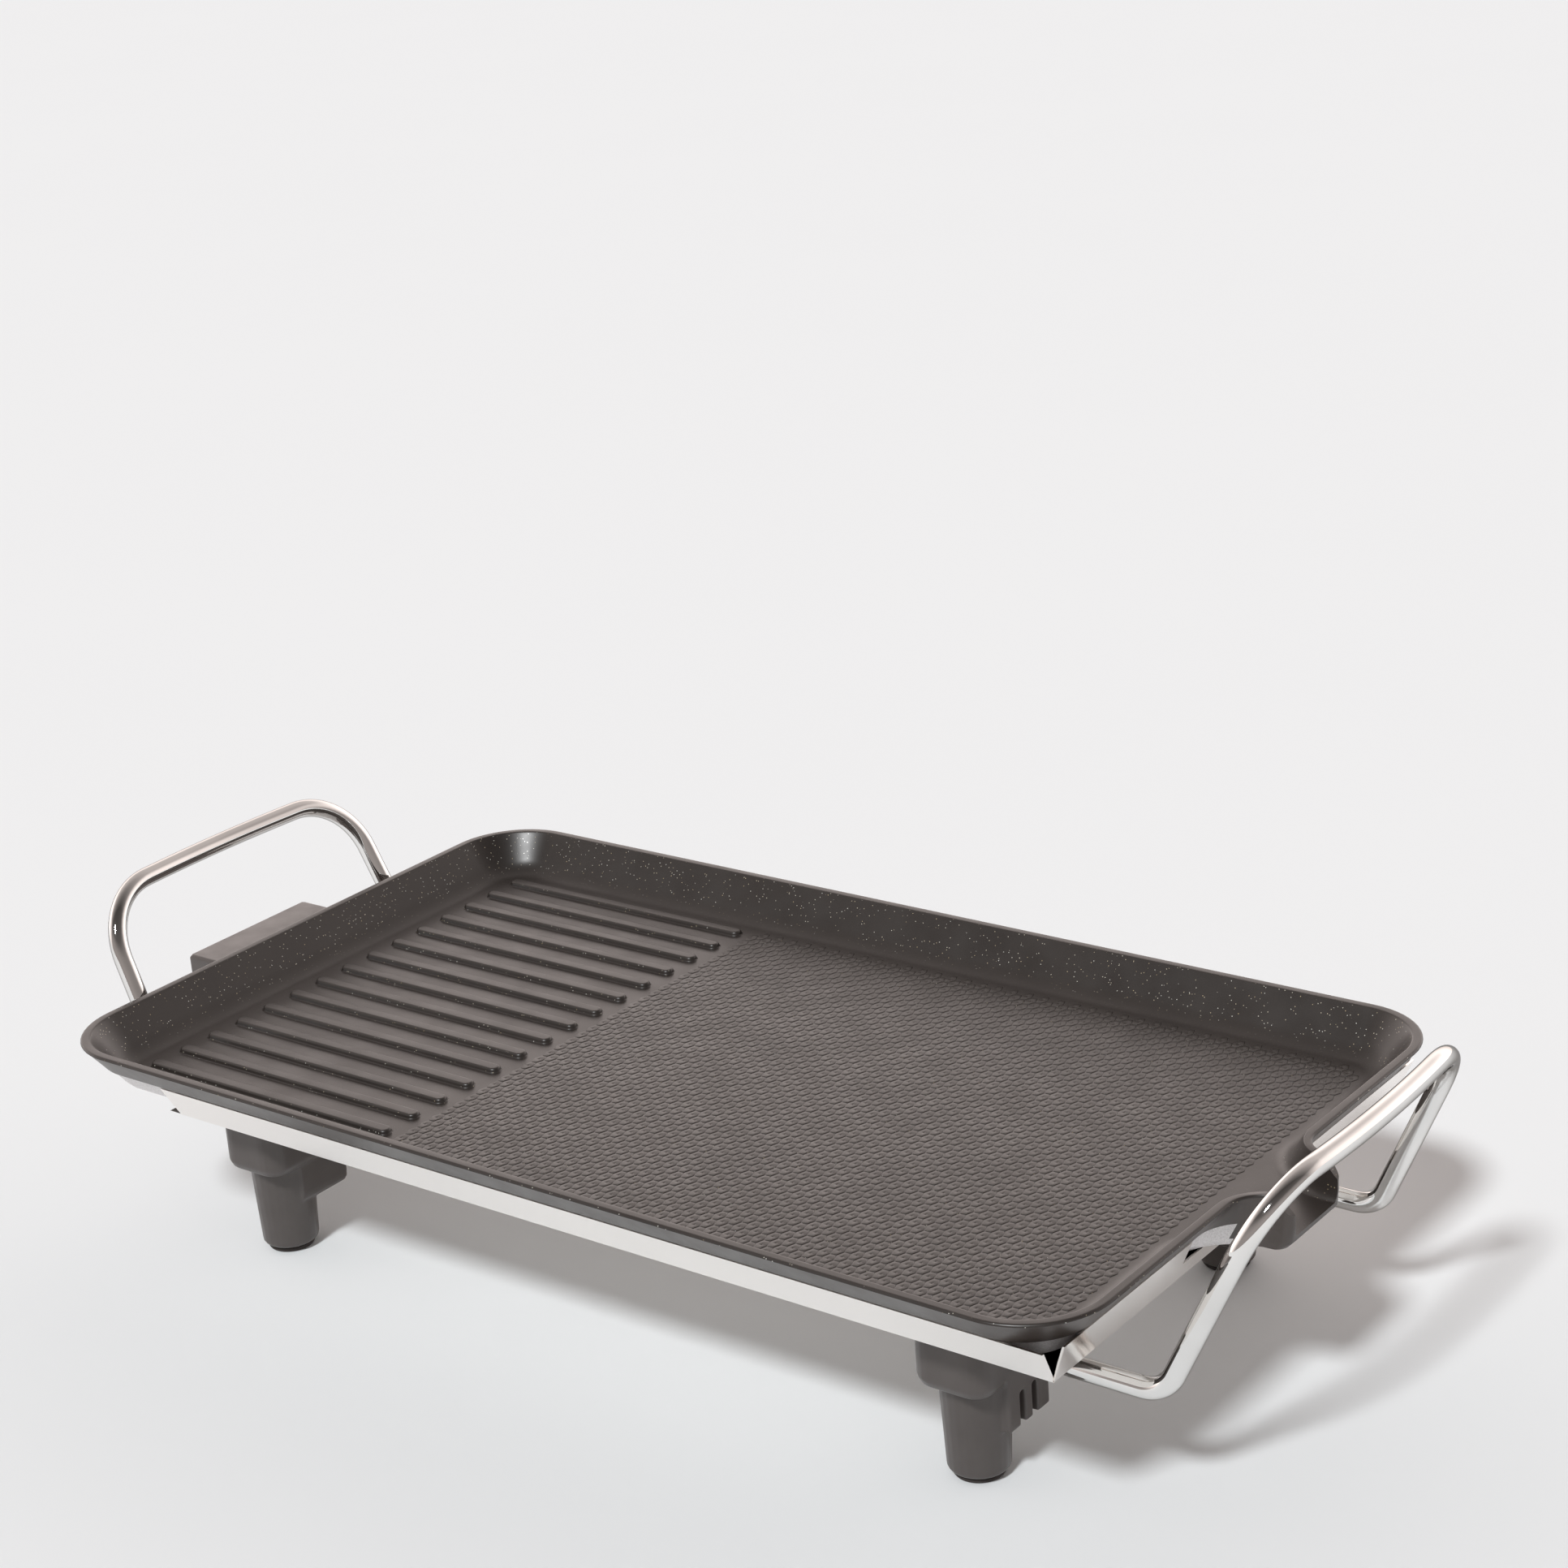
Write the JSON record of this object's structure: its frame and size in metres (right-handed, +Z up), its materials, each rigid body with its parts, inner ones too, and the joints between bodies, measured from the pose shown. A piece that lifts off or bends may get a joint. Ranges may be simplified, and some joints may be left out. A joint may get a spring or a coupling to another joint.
{
  "type": "electric griddle",
  "caption": "Table-top electric griddle: oblong cast pan, half ribbed and half embossed, with a pouring spout, stainless tray, moulded legs and pull-out wire handles.",
  "frame": {"origin": "on the table, under the middle of the pan", "axes": "+X along the pan towards the spout end, +Y across the pan to the back, +Z up"},
  "size_m": [0.5698, 0.28, 0.1305],
  "materials": {
    "pan_coating": "stone-speckled non-stick coating, satin",
    "stainless": "polished stainless sheet",
    "chrome_wire": "bright chrome plate",
    "leg_moulding": "satin grey-brown phenolic",
    "foot_rubber": "matt",
    "zinc_steel": "zinc plated",
    "element_sheath": "oxidised sheath",
    "board_phenolic": "laminated board",
    "ceramic": "glazed ceramic",
    "brass": "plain brass"
  },
  "bodies": {
    "base": {"clamp_screw_back_1": "zinc_steel", "clamp_screw_back_2": "zinc_steel", "clamp_screw_front_1": "zinc_steel", "clamp_screw_front_2": "zinc_steel", "earth_pin": "brass", "earth_strap": "brass", "element_bush_back": "ceramic", "element_bush_front": "ceramic", "element_clamp_back_1": "zinc_steel", "element_clamp_back_2": "zinc_steel", "element_clamp_front_1": "zinc_steel", "element_clamp_front_2": "zinc_steel", "foot_pad_back_left": "foot_rubber", "foot_pad_back_right": "foot_rubber", "foot_pad_front_left": "foot_rubber", "foot_pad_front_right": "foot_rubber", "griddle_plate": "pan_coating", "heat_shield_tray": "stainless", "heating_element": "element_sheath", "leg_back_left": "leg_moulding", "leg_back_right": "leg_moulding", "leg_front_left": "leg_moulding", "leg_front_right": "leg_moulding", "leg_screw_back_left": "zinc_steel", "leg_screw_back_right": "zinc_steel", "leg_screw_front_left": "zinc_steel", "leg_screw_front_right": "zinc_steel", "line_pin": "brass", "neutral_pin": "brass", "probe_guide_tube": "zinc_steel", "shroud_screw_back": "zinc_steel", "shroud_screw_front": "zinc_steel", "terminal_board": "board_phenolic", "terminal_shroud": "leg_moulding"},
    "left_handle": {"left_handle": "chrome_wire"},
    "right_handle": {"right_handle": "chrome_wire"}
  },
  "joints": [
    {"name": "left_handle_pull", "type": "slide", "parent": "base", "child": "left_handle", "axis": [-1, 0, 0], "range_m": [0, 0.0215]},
    {"name": "right_handle_pull", "type": "slide", "parent": "base", "child": "right_handle", "axis": [1, 0, 0], "range_m": [0, 0.0215]}
  ]
}
